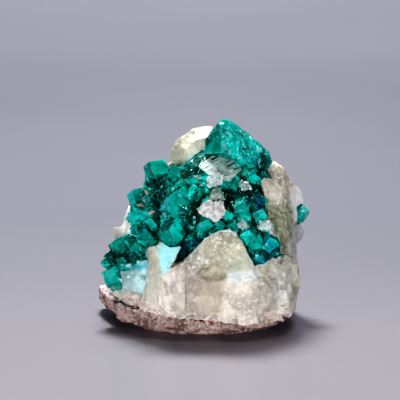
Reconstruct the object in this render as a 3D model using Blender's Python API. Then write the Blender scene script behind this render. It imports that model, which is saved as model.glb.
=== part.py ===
"""A dioptase specimen: emerald crystals grown over a block of pale calcite, on a rind of host rock.

Places are in millimetres while the shapes are laid out: x to the right, y away from the front
and z up from the surface that the specimen rests on. Meshes are scaled to metres as they are made,
and the finished specimen is centred on its base.
"""

import math
import random
from collections import namedtuple

import bmesh
import bpy
from mathutils import Matrix, Vector, noise

# Driving dimensions, in millimetres
MM = 0.001
GAP = 0.3
PARTING_HEIGHT = 3.2
PARTING_SLOPE = -0.07

# Dioptase: a six-sided prism ended by three rhombic faces, each leaning this far from the cross-section
RHOMB_TILT = math.radians(51.0)
PRISM_SIDES = 6

# Calcite cleaves into rhombs whose edges meet at this angle
CLEAVAGE_ANGLE = math.radians(101.9)

Crystal = namedtuple("Crystal", "tip lean toward twist radius length flatten")


def crystal(tip, lean, toward, twist, radius, length, flatten=1.0):
    """One dioptase crystal. lean and toward tip its axis from vertical to the right and to the front."""
    return Crystal(tip, lean, toward, twist, radius, length, flatten)


# The crystals that can be told apart at the front, by where they grow
HERO_CRYSTALS = {
    "upper_left": [
        crystal((-9.1, -5.4, 28.4), -34, 26, 12, 2.1, 6.5, 0.9),
        crystal((-5.0, -5.2, 28.0), 2, 14, 25, 0.9, 4.5),
        crystal((-6.6, -6.4, 26.0), 10, 48, 25, 1.3, 4.5),
        crystal((-8.6, -6.4, 25.0), -18, 60, 40, 1.3, 4.0),
        crystal((-9.2, -5.8, 23.0), -34, 50, 5, 1.4, 4.5),
        crystal((-8.2, -6.9, 21.4), -12, 62, 30, 1.3, 4.5),
        crystal((-8.8, -6.6, 19.2), -28, 56, 12, 1.4, 5.0),
    ],
    "front": [
        crystal((-4.5, -9.0, 24.2), -18, 44, 16, 3.2, 8.0, 0.88),
        crystal((-1.2, -8.2, 24.8), 16, 42, 44, 1.8, 6.0, 0.8),
        crystal((-5.8, -10.0, 17.9), -22, 62, 8, 2.2, 7.0, 1.15),
        crystal((-3.1, -8.4, 19.6), 6, 70, 36, 1.2, 5.0),
        crystal((-1.9, -8.6, 16.4), 20, 66, 12, 1.5, 5.0),
        crystal((0.4, -10.0, 19.7), 10, 62, 20, 1.8, 6.0, 0.8),
        crystal((2.7, -9.9, 18.9), 4, 70, 50, 0.8, 4.0),
        crystal((3.8, -9.6, 21.0), 10, 56, 14, 1.0, 4.5),
        crystal((6.3, -8.9, 23.2), 16, 48, 6, 1.8, 6.0),
        crystal((9.0, -7.0, 23.8), 32, 40, 28, 2.0, 6.5, 1.2),
        crystal((9.6, -7.4, 20.9), 46, 52, 14, 1.6, 5.5),
        crystal((6.6, -9.4, 20.4), 12, 62, 36, 1.2, 5.0),
        crystal((4.6, -9.8, 18.9), -10, 64, 8, 1.0, 4.5),
        crystal((7.4, -9.8, 17.9), 16, 56, 20, 1.5, 5.5, 1.2),
        crystal((5.6, -6.8, 26.0), 28, 34, 16, 1.2, 5.0),
        crystal((-3.9, -8.6, 14.6), -4, 70, 5, 1.6, 5.0),
        crystal((0.6, -9.0, 22.6), -6, 58, 30, 1.1, 4.5),
    ],
    "lower_right": [
        crystal((8.4, -9.4, 16.4), -10, 48, 12, 1.4, 5.0),
        crystal((10.9, -8.8, 16.4), 22, 46, 40, 1.8, 6.0, 0.85),
        crystal((11.9, -8.2, 13.9), 42, 56, 22, 1.4, 5.0),
        crystal((9.3, -9.9, 13.5), 6, 62, 5, 1.2, 4.5),
    ],
    "left": [
        crystal((-12.2, -3.4, 23.1), -34, 30, 14, 1.6, 5.5),
        crystal((-11.4, -5.0, 20.4), -28, 46, 34, 2.1, 6.0, 0.8),
        crystal((-12.6, -3.8, 18.8), -54, 32, 8, 1.2, 4.5),
        crystal((-9.9, -6.2, 17.4), -16, 54, 20, 1.8, 6.0),
        crystal((-10.9, -5.8, 15.4), -34, 62, 44, 1.2, 4.5),
    ],
    "lower_left": [
        crystal((-14.5, -4.4, 15.2), -28, 36, 18, 2.3, 6.5, 0.85),
        crystal((-11.4, -5.9, 14.8), -12, 50, 34, 1.3, 5.0),
        crystal((-16.4, -3.4, 12.4), -50, 34, 22, 1.5, 5.5),
        crystal((-13.6, -5.9, 12.4), -26, 60, 8, 1.6, 5.5),
        crystal((-11.4, -6.6, 12.4), -8, 62, 28, 1.3, 5.0),
        crystal((-16.2, -4.8, 9.9), -34, 44, 4, 2.0, 6.0),
    ],
    "summit": [
        crystal((10.2, -3.0, 26.6), 38, 42, 12, 1.5, 5.5),
        crystal((8.4, -4.9, 26.4), 14, 50, 26, 1.3, 5.0),
    ],
}

# Two big crystals that broke as they grew: corner points of what is left of each
CROWN_CORNERS = [
    (2.9, -4.5, 34.0), (3.1, -5.0, 30.1), (0.3, -1.7, 31.7), (0.2, -2.2, 29.4),
    (2.4, -2.0, 34.4), (3.7, 0.2, 34.9), (6.4, 0.6, 32.8), (9.2, 0.8, 30.4),
    (10.7, -1.5, 29.3), (11.5, -0.5, 27.6), (9.7, -2.5, 26.2), (7.1, -4.5, 28.2),
    (1.2, 3.4, 31.8), (4.2, 4.2, 33.2), (10.4, 3.6, 28.6), (9.4, 3.0, 26.0), (1.6, 3.0, 28.6),
]
PLATE_CORNERS = [
    (-1.0, -4.8, 27.5), (1.0, -1.8, 29.4), (2.9, -1.8, 29.3), (4.3, -2.7, 28.6), (6.5, -4.6, 27.2),
    (4.3, -7.4, 25.5), (3.1, -7.1, 25.7), (0.8, -6.4, 26.3), (-4.4, -1.3, 26.8), (-0.3, 0.5, 29.4),
    (-2.4, -5.0, 25.9), (0.8, -6.2, 25.4), (4.1, -7.0, 24.4), (-2.4, 1.0, 27.2),
    (6.0, 1.2, 26.6), (0.0, 1.0, 24.6),
]

# Solid dioptase behind the crystals, from which they grow
ROOT_MASSES = {
    "upper_left": [
        (-9.6, -4.4, 26.0), (-5.4, -4.8, 26.4), (-9.8, -4.0, 20.0), (-9.2, -4.8, 16.6),
        (-5.6, -6.2, 16.8), (-5.0, -6.2, 22.0), (-9.0, -0.6, 25.0), (-6.0, -0.6, 26.0),
        (-9.6, -0.4, 17.0), (-5.4, -1.0, 16.0),
    ],
    "front": [
        (-6.2, -5.8, 24.2), (-1.0, -6.0, 25.4), (4.8, -5.6, 25.2), (8.8, -4.4, 24.2),
        (9.8, -4.6, 20.8), (8.2, -6.6, 16.8), (4.4, -7.2, 16.4), (0.4, -7.4, 15.0),
        (-3.0, -7.4, 12.4), (-5.4, -7.0, 12.6), (-7.4, -6.6, 17.0),
        (-6.0, -1.0, 25.0), (8.4, -0.8, 24.6), (8.6, -1.6, 18.0), (-5.6, -2.4, 14.0),
    ],
    "lower_right": [
        (7.2, -7.0, 17.2), (10.8, -5.6, 17.0), (12.0, -6.0, 13.2), (8.6, -8.8, 12.6),
        (8.2, -4.4, 17.8), (11.2, -3.8, 16.4), (11.6, -4.0, 13.6), (8.4, -5.4, 13.0),
    ],
    "left": [
        (-12.2, -1.8, 22.0), (-9.4, -2.8, 22.4), (-12.6, -2.0, 18.4), (-11.8, -3.6, 16.0),
        (-9.2, -5.2, 15.2), (-9.0, -4.6, 20.0), (-11.8, 0.8, 20.4), (-9.0, 0.6, 21.0),
        (-12.0, 0.6, 16.4), (-9.0, -0.6, 15.2),
    ],
    "lower_left": [
        (-15.4, -2.2, 14.0), (-11.0, -4.4, 14.6), (-16.4, -1.8, 10.6), (-15.2, -3.4, 7.8),
        (-13.4, -4.4, 10.4), (-10.6, -5.8, 11.6), (-14.4, 1.4, 13.8), (-11.0, 0.2, 14.4),
        (-15.2, 1.0, 8.8), (-11.0, -1.0, 11.4),
    ],
    "summit": [
        (-1.0, -3.2, 27.4), (6.6, -3.4, 28.2), (9.6, -2.4, 26.4), (8.8, -3.6, 23.8),
        (-1.6, -4.6, 24.6), (0.4, 1.8, 28.0), (9.0, 1.8, 26.8), (8.4, 0.6, 23.8), (-1.0, 0.2, 24.6),
    ],
}

# Calcite blocks: corner points of the cleavage faces
CALCITE_BLOCKS = {
    "tooth": [
        (-3.4, -11.5, 12.7), (0.3, -11.1, 16.7), (2.7, -10.3, 17.9), (4.8, -9.6, 18.1),
        (8.2, -11.0, 11.9), (-3.4, -12.1, 10.6), (0.4, -12.5, 9.9), (3.2, -12.6, 9.6), (8.4, -11.8, 10.2),
        (-3.4, -11.3, 6.0), (3.0, -11.6, 6.0), (8.4, -11.2, 6.0), (-3.6, -7.0, 12.0), (1.6, -7.4, 15.6),
        (4.2, -7.2, 16.4), (8.4, -6.6, 11.4), (-3.6, -4.0, 7.0), (8.0, -4.0, 7.0),
    ],
    "left_pane": [
        (-7.5, -10.9, 10.8), (-3.0, -11.6, 12.8), (-7.7, -10.7, 5.8), (-3.2, -12.3, 6.8),
        (-7.4, -10.0, 1.0), (-3.0, -11.7, 1.0), (-7.4, -6.0, 10.8), (-3.0, -6.4, 12.4),
        (-7.4, -5.0, 1.0), (-3.0, -5.0, 1.0),
    ],
    "window": [
        (-3.6, -11.5, 8.8), (3.2, -11.6, 9.0), (-3.5, -11.9, 5.6), (3.3, -12.1, 5.6),
        (-3.3, -11.5, 1.0), (3.2, -11.7, 1.0), (-3.2, -5.0, 8.4), (3.2, -5.0, 8.4),
        (-3.2, -5.0, 1.0), (3.2, -5.0, 1.0),
    ],
    "right_swell": [
        (3.4, -12.4, 9.2), (7.6, -12.1, 10.4), (12.4, -9.3, 9.4), (2.9, -12.9, 6.4),
        (6.4, -13.3, 6.0), (9.8, -12.2, 6.4), (13.2, -9.4, 5.4), (3.0, -12.2, 1.0), (9.2, -10.7, 1.0),
        (12.8, -8.0, 1.0), (4.0, -5.0, 9.0), (12.4, -4.0, 9.2), (4.0, -4.0, 1.0), (12.8, -3.0, 1.0),
    ],
    "right_shelf": [
        (7.9, -11.0, 11.8), (12.8, -7.9, 12.9), (14.2, -6.2, 12.6), (15.9, -1.4, 10.4),
        (16.1, -2.0, 7.0), (8.6, -11.3, 8.4), (13.2, -9.2, 8.6), (15.2, -6.0, 5.6), (14.6, -5.4, 1.2),
        (15.4, -1.0, 1.4), (8.0, -4.0, 12.0), (13.0, 0.0, 12.6), (8.0, -2.0, 1.0),
        (15.4, 4.6, 3.4), (15.6, 4.6, 10.0), (14.6, 5.0, 1.2),
    ],
    "left_corner": [
        (-9.0, -8.8, 9.8), (-7.2, -10.8, 10.7), (-10.7, -8.2, 5.3), (-7.4, -10.8, 6.0),
        (-10.5, -7.4, 1.0), (-7.2, -9.9, 1.0), (-9.0, -5.0, 10.8), (-11.0, -3.0, 6.0),
        (-6.0, -4.0, 10.0), (-10.6, -3.0, 1.0), (-6.0, -4.0, 1.0),
    ],
    "blade": [
        (-9.2, -9.4, 14.5), (-8.3, -9.9, 15.1), (-7.5, -10.2, 14.3), (-7.4, -10.8, 11.2),
        (-7.3, -11.1, 9.4), (-7.9, -11.0, 5.6), (-9.6, -10.0, 5.4), (-9.4, -9.8, 11.0),
        (-8.8, -6.6, 14.0), (-7.8, -6.6, 13.6), (-9.4, -6.0, 5.4), (-7.4, -6.0, 5.4),
    ],
    "blue_face": [
        (-8.0, -9.4, 15.0), (-6.3, -8.7, 15.9), (-4.0, -9.5, 14.8), (-5.6, -11.0, 11.8),
        (-6.6, -11.4, 10.6), (-7.4, -10.9, 11.4), (-7.2, -6.4, 13.4), (-5.4, -6.6, 13.2),
        (-6.8, -7.6, 10.2), (-5.4, -7.8, 11.2),
    ],
    "blue_chips": [
        (-14.0, -5.2, 9.6), (-13.3, -6.4, 9.0), (-11.2, -6.6, 11.6), (-9.6, -7.4, 12.2),
        (-9.6, -8.6, 9.0), (-10.2, -8.4, 6.8), (-11.5, -7.8, 7.0), (-13.6, -6.2, 7.2),
        (-13.4, -1.0, 9.6), (-10.4, -2.0, 11.4), (-13.0, -1.0, 5.0), (-10.2, -3.0, 5.0),
    ],
    "right_wall_top": [
        (10.2, -2.6, 26.2), (11.6, -0.6, 27.3), (13.4, 0.6, 26.3), (15.0, 1.8, 23.6),
        (15.9, 2.0, 18.0), (10.0, -4.4, 23.6), (10.6, -4.9, 21.3), (9.4, -3.2, 25.1),
        (11.4, 5.4, 27.0), (14.6, 6.8, 23.6), (15.6, 7.2, 17.6), (9.6, 4.0, 18.0), (13.0, -3.4, 22.6),
        (13.4, -3.2, 18.0),
    ],
    "right_wall": [
        (10.4, -4.8, 21.4), (9.7, -5.6, 19.6), (8.9, -6.4, 17.9), (9.3, -6.6, 16.3),
        (11.2, -6.4, 16.4), (13.2, -6.0, 12.6), (13.8, -3.2, 19.0), (15.9, 2.0, 18.4),
        (15.7, 1.0, 10.0), (14.8, -3.8, 12.2), (15.6, 7.2, 18.0), (15.4, 7.6, 10.0), (9.0, 4.0, 12.0),
    ],
    "white_bud": [
        (14.8, 3.0, 23.0), (16.0, 4.2, 22.5), (16.8, 5.0, 21.2), (17.2, 5.0, 19.5), (16.5, 4.6, 17.9),
        (15.2, 3.6, 17.2), (15.0, 7.6, 22.0), (16.2, 7.8, 20.0), (14.8, 8.0, 18.0), (13.6, 5.0, 20.0),
    ],
    "grey_bud": [
        (15.4, 3.4, 16.2), (16.4, 4.2, 15.8), (17.3, 5.0, 14.6), (16.9, 5.2, 13.0), (15.6, 4.0, 12.2),
        (16.6, 7.4, 15.4), (16.0, 7.6, 12.6), (14.4, 5.4, 14.2),
    ],
    "core_low": [
        (-15.6, 1.0, 1.0), (-16.4, 2.6, 5.4), (-15.8, 2.4, 10.6), (-13.6, -4.6, 5.6), (-12.0, -6.0, 1.0),
        (-14.6, 2.6, 14.8), (-12.9, 2.4, 19.4), (13.6, 2.0, 18.0), (15.0, 3.0, 12.0), (14.6, 4.0, 1.0),
        (-12.6, -2.6, 15.6), (-8.4, -2.4, 18.0), (8.4, -1.6, 18.0), (-8.0, -6.0, 9.0), (8.0, -6.0, 9.0),
        (-10.0, 11.0, 1.0), (-11.6, 10.6, 8.0), (-9.6, 8.4, 17.0), (3.0, 13.0, 1.0), (3.4, 12.4, 9.0),
        (11.6, 10.4, 1.0), (12.4, 10.0, 9.0), (11.6, 8.4, 17.0), (1.0, 10.2, 18.0),
    ],
    "core_high": [
        (-12.4, 1.6, 20.4), (-9.4, 0.6, 24.6), (-5.4, 1.4, 27.4), (4.4, 1.0, 27.8), (10.4, 1.6, 26.4),
        (13.2, 2.0, 25.6), (14.4, 3.4, 20.0), (-12.4, 2.6, 13.0), (9.0, -2.0, 15.0), (-7.6, -2.0, 15.0),
        (-10.2, 7.8, 19.0), (-5.4, 7.4, 25.4), (2.0, 8.4, 27.4), (8.8, 7.2, 25.4), (13.0, 7.8, 19.0),
        (0.0, 10.6, 18.0), (0.0, 11.0, 13.0), (-10.6, 8.6, 13.0), (13.0, 8.8, 13.0),
    ],
    "knob": [
        (-5.5, 2.6, 29.2), (-5.4, 2.2, 27.4), (-4.9, 2.8, 30.3), (-3.8, 2.8, 31.3), (-1.7, 3.0, 32.8),
        (1.4, 3.9, 33.1), (-4.1, 0.8, 26.2), (-3.0, 0.4, 29.4), (-1.4, 0.6, 31.2), (1.0, 1.4, 31.6),
        (3.4, 5.0, 31.6), (-4.4, 6.0, 30.2), (-1.0, 7.6, 31.4), (3.2, 7.0, 29.6), (-5.0, 5.8, 27.0),
        (-2.0, 8.4, 27.0), (4.6, 4.0, 26.0), (-2.0, -0.4, 26.0),
    ],
}

# Cleavage rhombs that stand proud of the calcite's faces as steps: centre and edge length
CLEAVAGE_STEPS = [
    ((6.4, -11.4, 4.0), 3.2), ((11.2, -8.0, 5.2), 4.0), ((-5.5, -9.7, 5.0), 3.4), ((13.4, -4.4, 8.8), 3.6),
    ((-4.0, 9.0, 5.4), 8.0), ((5.4, 9.8, 11.6), 7.0), ((-8.6, 7.6, 11.6), 6.0), ((8.4, 8.2, 4.8), 7.0),
    ((-0.6, 8.2, 19.4), 5.6), ((6.4, 6.6, 20.8), 5.8), ((-6.2, 5.8, 21.6), 5.0), ((2.6, 6.0, 26.0), 4.4),
    ((-11.6, 4.4, 5.6), 6.0), ((-12.0, 2.6, 13.4), 4.6), ((11.6, 6.6, 9.4), 6.2), ((11.0, 5.6, 23.0), 4.8),
]

# Shell-shaped fractures scooped out of the calcite: centre and half-widths
SHELL_FRACTURES = [
    ((1.2, -13.9, 11.3), (3.3, 2.9, 2.0)), ((-5.2, -13.3, 8.2), (1.2, 2.3, 2.6)),
    ((10.8, -11.4, 12.2), (2.6, 2.0, 1.7)), ((2.4, 15.8, 15.4), (5.0, 5.2, 4.0)),
    ((17.6, -0.4, 14.8), (2.4, 3.2, 3.6)),
]

# Crumbs of white calcite left on the crystals at the front: corner points
CALCITE_CRUMBS = [
    [
        (-1.0, -9.9, 21.5), (0.4, -9.8, 22.6), (2.1, -9.8, 22.4), (3.0, -9.4, 22.6), (3.4, -9.8, 21.2),
        (3.2, -10.0, 20.5), (2.0, -10.3, 19.4), (-0.8, -10.0, 20.7), (0.0, -6.4, 21.6), (2.4, -6.2, 21.4),
        (1.2, -6.4, 20.0),
    ],
    [
        (1.8, -8.9, 24.6), (2.6, -8.7, 24.7), (3.3, -9.1, 22.9), (0.8, -9.5, 22.9), (1.2, -9.2, 24.0),
        (1.2, -5.8, 23.6), (2.6, -5.6, 23.6), (2.0, -6.0, 23.2),
    ],
    [
        (0.7, -7.3, 26.2), (1.9, -7.2, 27.0), (3.1, -7.3, 26.2), (2.8, -8.0, 25.2), (0.6, -8.2, 24.9),
        (0.9, -8.2, 24.7), (1.6, -5.0, 25.6), (2.7, -5.0, 25.3), (0.9, -5.4, 25.2),
    ],
    [
        (6.0, -7.9, 25.6), (7.2, -7.6, 25.5), (7.7, -7.8, 24.6), (6.6, -8.3, 24.2), (5.8, -8.2, 24.7),
        (6.4, -5.2, 24.8), (7.2, -5.0, 24.6),
    ],
    [
        (6.3, -10.4, 19.8), (7.5, -10.0, 18.4), (6.1, -10.3, 18.2), (5.5, -10.2, 18.9),
        (6.5, -7.0, 19.2), (7.2, -6.8, 18.4), (6.0, -7.0, 18.3),
    ],
    [
        (9.3, -7.9, 18.9), (10.8, -7.2, 18.7), (11.7, -6.9, 17.8), (10.4, -8.0, 17.4), (9.2, -8.0, 17.8),
        (9.9, -6.4, 18.8), (11.2, -6.1, 18.2), (10.0, -6.6, 17.3),
    ],
]

# The host rock's outline at three heights, seen from above
ROCK_RINGS = [
    (0.0, [(-9.5, -6.5), (-4.0, -9.2), (4.0, -9.6), (9.5, -6.6), (11.0, 1.0), (8.5, 8.0), (1.0, 10.0),
           (-8.0, 8.6), (-11.5, 2.0)]),
    (1.6, [(-14.2, -4.8), (-10.6, -8.2), (-3.6, -11.4), (3.6, -11.8), (10.8, -9.2), (14.2, -4.6),
           (14.8, 3.0), (11.6, 10.2), (2.6, 13.4), (-10.4, 12.0), (-18.0, 7.6), (-17.0, 3.0)]),
    (4.9, [(-14.6, -5.2), (-10.8, -8.4), (-3.6, -11.9), (3.6, -12.3), (11.2, -9.4), (15.2, -3.6),
           (15.0, 4.0), (11.8, 10.6), (2.6, 13.8), (-10.6, 12.4), (-18.4, 7.4), (-18.2, 4.2)]),
]
ROCK_LUMP = 0.55
ROCK_CUTS = 3

# Small crystals scattered between the big ones: how many on each root mass
FILLER_COUNTS = {
    "upper_left": 12, "front": 32, "lower_right": 6, "left": 8, "lower_left": 8, "summit": 5,
}
FILLER_RADIUS = (0.6, 1.3)
FILLER_SPACING = 1.3
FILLER_FLATTENING = (0.7, 1.15)
FILLER_SEED = 7

# A lone crystal on the right flank, and three in a pocket at the back
RIGHT_CRYSTALS = [
    crystal((18.1, 4.2, 18.6), 62, 8, 12, 1.35, 4.2),
    crystal((17.2, 5.8, 16.8), 80, -20, 30, 1.0, 3.4),
]
BACK_CRYSTALS = [
    crystal((-6.4, 13.2, 16.4), -20, -58, 15, 2.0, 6.5),
    crystal((-3.2, 13.0, 14.6), 18, -64, 33, 1.7, 6.0),
    crystal((-8.6, 11.8, 13.6), -48, -46, 8, 1.6, 6.0),
    crystal((-5.6, 13.0, 12.6), -8, -76, 24, 1.4, 5.0),
    crystal((-4.4, 12.6, 18.4), 8, -42, 40, 1.3, 5.5),
]
BACK_ROOT = [
    (-8.4, 9.0, 12.6), (-3.0, 10.4, 12.4), (-3.4, 10.0, 17.6), (-7.4, 9.2, 17.2),
    (-8.0, 6.6, 13.0), (-3.4, 7.0, 13.0), (-4.0, 6.6, 17.0), (-7.0, 6.4, 17.0), (-5.6, 11.4, 15.0),
]


def clear_scene():
    for leftover in list(bpy.data.objects):
        bpy.data.objects.remove(leftover, do_unlink=True)


def material(name, colour, roughness, transmission=0.0):
    """A Principled BSDF with the mineral's colour."""
    made = bpy.data.materials.new(name)
    made.use_nodes = True
    shader = made.node_tree.nodes["Principled BSDF"]
    shader.inputs["Base Color"].default_value = (*colour, 1.0)
    shader.inputs["Roughness"].default_value = roughness
    shader.inputs["Transmission Weight"].default_value = transmission
    return made


def hull_into(target, corners, grow=0.0):
    """Adds the convex solid around the corners, pushed outwards by about grow."""
    shape = bmesh.new()
    centre = sum((Vector(corner) for corner in corners), Vector()) / len(corners)
    for corner in corners:
        outwards = (Vector(corner) - centre).normalized()
        shape.verts.new((Vector(corner) + outwards * grow * 1.3) * MM)
    bmesh.ops.convex_hull(shape, input=shape.verts)
    loose = [vertex for vertex in shape.verts if not vertex.link_faces]
    bmesh.ops.delete(shape, geom=loose, context="VERTS")
    add_to(target, shape)


def add_to(target, shape):
    """Moves one bmesh's faces into another."""
    bmesh.ops.recalc_face_normals(shape, faces=shape.faces)
    part = bpy.data.meshes.new("part")
    shape.to_mesh(part)
    shape.free()
    target.from_mesh(part)
    bpy.data.meshes.remove(part)


def axis_of(made):
    """The direction of a crystal's long axis, from its root to its tip."""
    lean, toward = math.radians(made.lean), math.radians(made.toward)
    return Vector((
        math.sin(lean) * math.cos(toward),
        -math.sin(toward),
        math.cos(lean) * math.cos(toward),
    ))


def crystal_into(target, made, grow=0.0):
    """Adds a six-sided prism with three rhombic faces at each end."""
    shape = bmesh.new()
    radius = made.radius + grow * 1.2
    overhang = grow / math.cos(RHOMB_TILT)
    drop = math.tan(RHOMB_TILT) * made.radius
    length = max(made.length, drop * 1.9)
    corners = [
        Vector((radius * math.cos(turn), radius * made.flatten * math.sin(turn), 0.0))
        for turn in (math.tau * step / PRISM_SIDES for step in range(PRISM_SIDES))
    ]
    tip = shape.verts.new((0.0, 0.0, overhang))
    root = shape.verts.new((0.0, 0.0, -length - overhang))
    rim, foot = [], []
    for step, corner in enumerate(corners):
        near, far = (drop, drop / 2) if step % 2 == 0 else (drop / 2, drop)
        rim.append(shape.verts.new(corner - Vector((0.0, 0.0, near - overhang))))
        foot.append(shape.verts.new(corner - Vector((0.0, 0.0, length - far + overhang))))
    for step in range(PRISM_SIDES):
        after, before = (step + 1) % PRISM_SIDES, step - 1
        shape.faces.new((rim[step], foot[step], foot[after], rim[after]))
        if step % 2 == 0:
            shape.faces.new((tip, rim[before], rim[step], rim[after]))
        else:
            shape.faces.new((root, foot[after], foot[step], foot[before]))
    axis = axis_of(made)
    turn = axis.to_track_quat("Z", "Y").to_matrix().to_4x4()
    place = Matrix.Translation(made.tip) @ turn @ Matrix.Rotation(math.radians(made.twist), 4, "Z")
    shape.transform(Matrix.Scale(MM, 4) @ place)
    add_to(target, shape)


def rhomb_into(target, centre, edge):
    """Adds a calcite cleavage rhomb. All of them lie the same way, as in one crystal."""
    shape = bmesh.new()
    bmesh.ops.create_cube(shape, size=edge)
    slant = math.cos(CLEAVAGE_ANGLE)
    shear = Matrix(((1.0, slant, slant), (0.0, 1.0, slant), (0.0, 0.0, 1.0))).to_4x4()
    turn = Matrix.Rotation(math.radians(9), 4, "Z") @ Matrix.Rotation(math.radians(-13), 4, "X")
    shape.transform(Matrix.Scale(MM, 4) @ Matrix.Translation(centre) @ turn @ shear)
    add_to(target, shape)


def scoop_into(target, centre, half_widths):
    """Adds an egg-shaped cutter for a shell-shaped fracture."""
    shape = bmesh.new()
    bmesh.ops.create_icosphere(shape, subdivisions=2, radius=1.0)
    size = Matrix.Diagonal((*half_widths, 1.0))
    shape.transform(Matrix.Scale(MM, 4) @ Matrix.Translation(centre) @ size)
    add_to(target, shape)


def object_from(shape, name):
    """Turns a bmesh into an object in the scene."""
    mesh = bpy.data.meshes.new(name)
    shape.to_mesh(mesh)
    shape.free()
    made = bpy.data.objects.new(name, mesh)
    bpy.context.scene.collection.objects.link(made)
    return made


def helper_from(shape, name):
    """An object that only cuts another."""
    made = object_from(shape, name)
    made.hide_render = True
    made.display_type = "WIRE"
    return made


def boolean(target, other, operation):
    """Cuts or joins with another object, and keeps the result as the target's mesh."""
    step = target.modifiers.new(operation.lower(), "BOOLEAN")
    step.operation = operation
    step.object = other
    step.solver = "EXACT"
    step.use_self = True
    bake_modifiers(target)


def bake_modifiers(target):
    graph = bpy.context.evaluated_depsgraph_get()
    baked = bpy.data.meshes.new_from_object(target.evaluated_get(graph))
    target.modifiers.clear()
    replaced = target.data
    target.data = baked
    bpy.data.meshes.remove(replaced)


def keep_largest_body(target):
    """Drops crumbs that a cut left loose."""
    shape = bmesh.new()
    shape.from_mesh(target.data)
    unseen = set(shape.verts)
    bodies = []
    while unseen:
        body, edge = [], [unseen.pop()]
        while edge:
            vertex = edge.pop()
            body.append(vertex)
            for link in vertex.link_edges:
                other = link.other_vert(vertex)
                if other in unseen:
                    unseen.remove(other)
                    edge.append(other)
        bodies.append(body)
    bodies.sort(key=len, reverse=True)
    for body in bodies[1:]:
        bmesh.ops.delete(shape, geom=body, context="VERTS")
    shape.to_mesh(target.data)
    shape.free()


def fused(name, shape):
    """One closed body from the overlapping bodies in a bmesh."""
    made = object_from(shape, name)
    anchor = bmesh.new()
    anchor.from_mesh(made.data)
    first = next(iter(anchor.faces))
    anchor_at = first.calc_center_median() - first.normal * 0.4 * MM
    anchor.free()
    seed = bmesh.new()
    bmesh.ops.create_cube(seed, size=0.1 * MM)
    seed.transform(Matrix.Translation(anchor_at))
    joiner = helper_from(seed, name + "_joiner")
    boolean(made, joiner, "UNION")
    bpy.data.objects.remove(joiner, do_unlink=True)
    keep_largest_body(made)
    return made


def surface_spots(corners, count, draw):
    """Spots spread over the front of a hull, each with its outward direction."""
    shape = bmesh.new()
    hull_into(shape, corners)
    bmesh.ops.triangulate(shape, faces=shape.faces)
    faces = [face for face in shape.faces if face.normal.y < -0.15]
    areas = [face.calc_area() for face in faces]
    spots = []
    tries = 0
    while len(spots) < count and tries < count * 30:
        tries += 1
        face = draw.choices(faces, areas)[0]
        first, second = sorted((draw.random(), draw.random()))
        a, b, c = (vertex.co for vertex in face.verts)
        place = (a * first + b * (second - first) + c * (1 - second)) / MM
        if all((place - other).length > FILLER_SPACING for other, direction in spots):
            spots.append((place, face.normal.copy()))
    shape.free()
    return spots


def filler_crystals():
    """Small crystals between the big ones, by root mass."""
    draw = random.Random(FILLER_SEED)
    grown = {}
    for group, corners in ROOT_MASSES.items():
        grown[group] = []
        for place, outwards in surface_spots(corners, FILLER_COUNTS[group], draw):
            stray = Vector((draw.uniform(-0.5, 0.5), draw.uniform(-0.5, 0.1), draw.uniform(-0.2, 0.6)))
            tilted = (outwards + stray).normalized()
            radius = draw.uniform(*FILLER_RADIUS)
            toward = math.degrees(math.asin(-tilted.y))
            lean = math.degrees(math.atan2(tilted.x, tilted.z))
            tip = place + tilted * radius * draw.uniform(0.9, 1.5)
            girth = draw.uniform(*FILLER_FLATTENING)
            grown[group].append(
                crystal(tuple(tip), lean, toward, draw.uniform(0, 60), radius, radius * 4, girth))
    return grown


def dioptase_into(target, fillers, grow=0.0):
    """All the dioptase that grew together at the front and top."""
    for corners in ROOT_MASSES.values():
        hull_into(target, corners, grow)
    hull_into(target, CROWN_CORNERS, grow)
    hull_into(target, PLATE_CORNERS, grow)
    for group in HERO_CRYSTALS:
        for made in HERO_CRYSTALS[group] + fillers[group]:
            crystal_into(target, made, grow)


def right_crystals_into(target, grow=0.0):
    for made in RIGHT_CRYSTALS:
        crystal_into(target, made, grow)


def back_crystals_into(target, grow=0.0):
    hull_into(target, BACK_ROOT, grow)
    for made in BACK_CRYSTALS:
        crystal_into(target, made, grow)


def crumbs_into(target, grow=0.0):
    for corners in CALCITE_CRUMBS:
        hull_into(target, corners, grow)


def half_space_above_parting(lift):
    """A big wedge above the surface where the calcite sits on the host rock."""
    shape = bmesh.new()
    size = 80.0
    bmesh.ops.create_cube(shape, size=size)
    tilt = Matrix.Rotation(-math.atan(PARTING_SLOPE), 4, "Y")
    raised = Matrix.Translation((0.0, 0.0, PARTING_HEIGHT + lift))
    shape.transform(Matrix.Scale(MM, 4) @ raised @ tilt @ Matrix.Translation((0.0, 0.0, size / 2)))
    return shape


def build_dioptase(fillers, finish):
    shape = bmesh.new()
    dioptase_into(shape, fillers)
    made = fused("dioptase_cluster", shape)
    sockets = bmesh.new()
    crumbs_into(sockets, GAP)
    boolean(made, helper_from(sockets, "crumb_sockets"), "DIFFERENCE")
    keep_largest_body(made)
    made.data.materials.append(finish)
    return made


def build_side_crystals(finish):
    made = []
    for name, grow_into in (("dioptase_right", right_crystals_into), ("dioptase_back", back_crystals_into)):
        shape = bmesh.new()
        grow_into(shape)
        group = fused(name, shape)
        group.data.materials.append(finish)
        made.append(group)
    return made


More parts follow.
